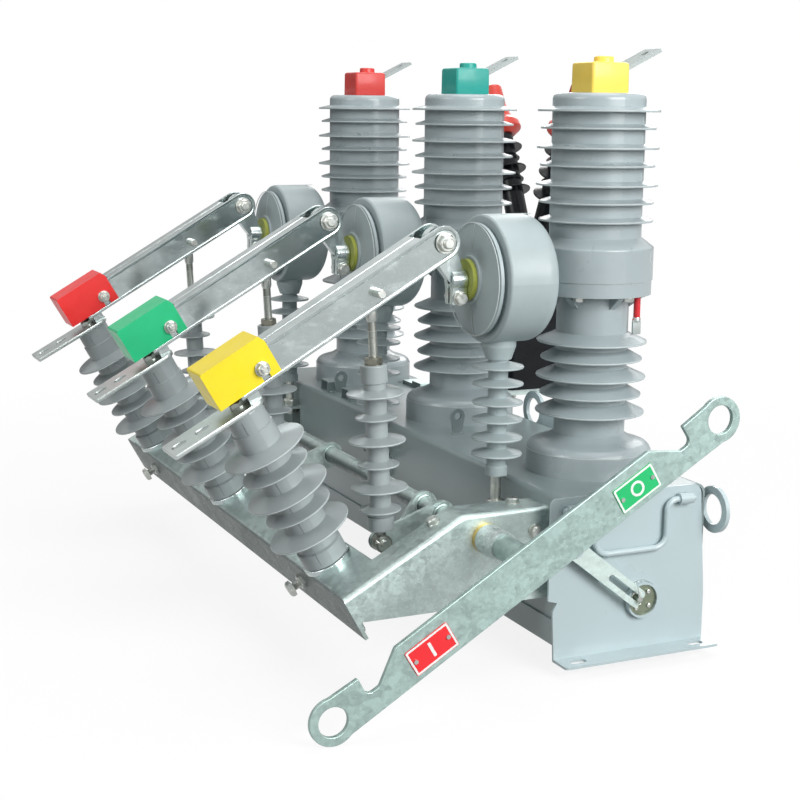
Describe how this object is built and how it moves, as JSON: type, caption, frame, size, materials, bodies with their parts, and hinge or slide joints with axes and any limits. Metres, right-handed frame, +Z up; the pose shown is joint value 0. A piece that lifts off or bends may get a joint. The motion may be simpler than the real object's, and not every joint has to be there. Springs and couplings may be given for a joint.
{
  "type": "outdoor vacuum circuit breaker",
  "caption": "Outdoor vacuum circuit breaker with ribbed columns on a tank, an integrated disconnector with coloured blade hoods, and a hand lever.",
  "frame": {"origin": "foot plane of the tank, under the middle column's axis", "axes": "+X along the pole row towards the hand lever, -Y towards the disconnector side, +Z up"},
  "size_m": [1.0406, 0.7937, 0.6964],
  "materials": {
    "insulator_resin": "semi-gloss cast resin, grey",
    "insulator_silicone": "satin moulded sheds, grey",
    "tank_paint": "gloss grey paint",
    "galvanised": "hot-dip galvanised, faint spangle",
    "bright_plate": "bright plated",
    "bolt_steel": "zinc-plated",
    "tinned_copper": "tinned",
    "brass_bush": "turned",
    "copper": "turned",
    "ceramic": "glazed",
    "gasket_olive": "matte",
    "yellow_hood": "moulded, semi-gloss",
    "green_hood": "moulded, semi-gloss",
    "red_hood": "moulded, semi-gloss",
    "amber_cap": "moulded, satin",
    "teal_cap": "moulded, satin",
    "brick_cap": "moulded, satin",
    "black_resin": "cast resin, black",
    "red_silicone": "satin",
    "red_sleeve": "glossy",
    "green_label": "printed plate",
    "red_label": "printed plate"
  },
  "bodies": {
    "breaker": {"tank": "tank_paint", "end_plate_near": "tank_paint", "end_plate_far": "tank_paint", "bottom_cover": "tank_paint", "shaft_bearings": "bolt_steel", "lower_insulators": "insulator_resin", "upper_insulators": "insulator_resin", "ct_bushings": "insulator_resin", "flange_bolts": "bolt_steel", "conductors": "copper", "interrupters": "ceramic", "top_terminals": "tinned_copper", "bushing_gaskets": "gasket_olive", "leg_rods": "bolt_steel", "leg_brackets": "galvanised", "hinge_clamps": "bright_plate", "disconnector_bolts": "bolt_steel", "post_insulators": "insulator_silicone", "post_bases": "galvanised", "line_terminals": "tinned_copper", "fixed_contacts": "bright_plate", "disconnector_frame": "galvanised", "frame_bolts": "bolt_steel", "frame_bushes": "brass_bush", "interlock_ring": "tank_paint", "vt_body": "black_resin", "vt_caps": "red_silicone", "vt_bracket": "galvanised", "voltage_lead": "red_sleeve", "tank_fittings": "tank_paint", "top_cover_near": "amber_cap", "top_cover_middle": "teal_cap", "top_cover_far": "brick_cap"},
    "disconnector_drive": {"disconnector_shaft": "galvanised", "crank_pins": "bolt_steel", "shaft_collars": "galvanised", "hand_lever": "galvanised", "open_label": "green_label", "close_label": "red_label", "label_rivets": "bolt_steel"},
    "breaker_shaft": {"main_shaft": "bolt_steel"},
    "pull_rod_near": {"pull_insulator_near": "insulator_silicone", "pull_eyes_near": "bolt_steel"},
    "blade_near_body": {"blade_near": "bright_plate", "blade_cover_near": "yellow_hood"},
    "contact_near": {"contact_rod_near": "copper"},
    "pull_rod_middle": {"pull_insulator_middle": "insulator_silicone", "pull_eyes_middle": "bolt_steel"},
    "blade_middle_body": {"blade_middle": "bright_plate", "blade_cover_middle": "green_hood"},
    "contact_middle": {"contact_rod_middle": "copper"},
    "pull_rod_far": {"pull_insulator_far": "insulator_silicone", "pull_eyes_far": "bolt_steel"},
    "blade_far_body": {"blade_far": "bright_plate", "blade_cover_far": "red_hood"},
    "contact_far": {"contact_rod_far": "copper"},
    "interlock_knob": {"interlock_disc": "bright_plate"},
    "interlock_link": {"interlock_fork": "bolt_steel"},
    "lifting_bail": {"lifting_handle": "tank_paint"},
    "charging_rocker": {"charging_lever": "tank_paint"}
  },
  "joints": [
    {"name": "disconnector_hinge", "type": "hinge", "parent": "breaker", "child": "disconnector_drive", "pos_m": [0, -0.19, 0.149], "axis": [-1, 0, 0], "range_deg": [0, 66]},
    {"name": "breaker_shaft_hinge", "type": "hinge", "parent": "breaker", "child": "breaker_shaft", "pos_m": [0, 0.0337, 0.1145], "axis": [-1, 0, 0], "range_deg": [0, 15.2]},
    {"name": "blade_near_hinge", "type": "hinge", "parent": "breaker", "child": "blade_near_body", "pos_m": [0.34, -0.206, 0.467], "axis": [-1, 0, 0], "range_deg": [0, 56]},
    {"name": "pull_rod_near_hinge", "type": "hinge", "parent": "disconnector_drive", "child": "pull_rod_near", "pos_m": [0.34, -0.2705, 0.126], "axis": [-1, 0, 0], "range_deg": [-75, 0]},
    {"name": "contact_near_slide", "type": "slide", "parent": "breaker", "child": "contact_near", "axis": [0, 0, 1], "range_m": [0, 0.0091]},
    {"name": "blade_middle_hinge", "type": "hinge", "parent": "breaker", "child": "blade_middle_body", "pos_m": [0, -0.206, 0.467], "axis": [-1, 0, 0], "range_deg": [0, 56]},
    {"name": "pull_rod_middle_hinge", "type": "hinge", "parent": "disconnector_drive", "child": "pull_rod_middle", "pos_m": [0, -0.2705, 0.126], "axis": [-1, 0, 0], "range_deg": [-75, 0]},
    {"name": "contact_middle_slide", "type": "slide", "parent": "breaker", "child": "contact_middle", "axis": [0, 0, 1], "range_m": [0, 0.0091]},
    {"name": "blade_far_hinge", "type": "hinge", "parent": "breaker", "child": "blade_far_body", "pos_m": [-0.34, -0.206, 0.467], "axis": [-1, 0, 0], "range_deg": [0, 56]},
    {"name": "pull_rod_far_hinge", "type": "hinge", "parent": "disconnector_drive", "child": "pull_rod_far", "pos_m": [-0.34, -0.2705, 0.126], "axis": [-1, 0, 0], "range_deg": [-75, 0]},
    {"name": "contact_far_slide", "type": "slide", "parent": "breaker", "child": "contact_far", "axis": [0, 0, 1], "range_m": [0, 0.0091]},
    {"name": "interlock_turn", "type": "hinge", "parent": "breaker", "child": "interlock_knob", "pos_m": [0.462, 0.002, 0.061], "axis": [1, 0, 0], "range_deg": [-25, 25]},
    {"name": "fork_hinge", "type": "hinge", "parent": "breaker", "child": "interlock_link", "pos_m": [0.4726, -0.094, 0.1325], "axis": [1, 0, 0], "range_deg": [-4, 4]},
    {"name": "lifting_hinge", "type": "hinge", "parent": "breaker", "child": "lifting_bail", "pos_m": [0.4655, -0.0165, 0.176], "axis": [0, -1, 0], "range_deg": [0, 165]},
    {"name": "charging_hinge", "type": "hinge", "parent": "breaker", "child": "charging_rocker", "pos_m": [0.2528, 0.0968, 0.1784], "axis": [0, 1, 0], "range_deg": [-30, 30]}
  ],
  "couplings": [
    {"joint": "blade_near_hinge", "follows": "disconnector_hinge", "ratio": 0.8175},
    {"joint": "pull_rod_near_hinge", "follows": "disconnector_hinge", "ratio": -1.105},
    {"joint": "contact_near_slide", "follows": "breaker_shaft_hinge", "m_per_rad": 0.0339},
    {"joint": "blade_middle_hinge", "follows": "disconnector_hinge", "ratio": 0.8175},
    {"joint": "pull_rod_middle_hinge", "follows": "disconnector_hinge", "ratio": -1.105},
    {"joint": "contact_middle_slide", "follows": "breaker_shaft_hinge", "m_per_rad": 0.0339},
    {"joint": "blade_far_hinge", "follows": "disconnector_hinge", "ratio": 0.8175},
    {"joint": "pull_rod_far_hinge", "follows": "disconnector_hinge", "ratio": -1.105},
    {"joint": "contact_far_slide", "follows": "breaker_shaft_hinge", "m_per_rad": 0.0339},
    {"joint": "fork_hinge", "follows": "interlock_turn", "ratio": -0.1276}
  ]
}
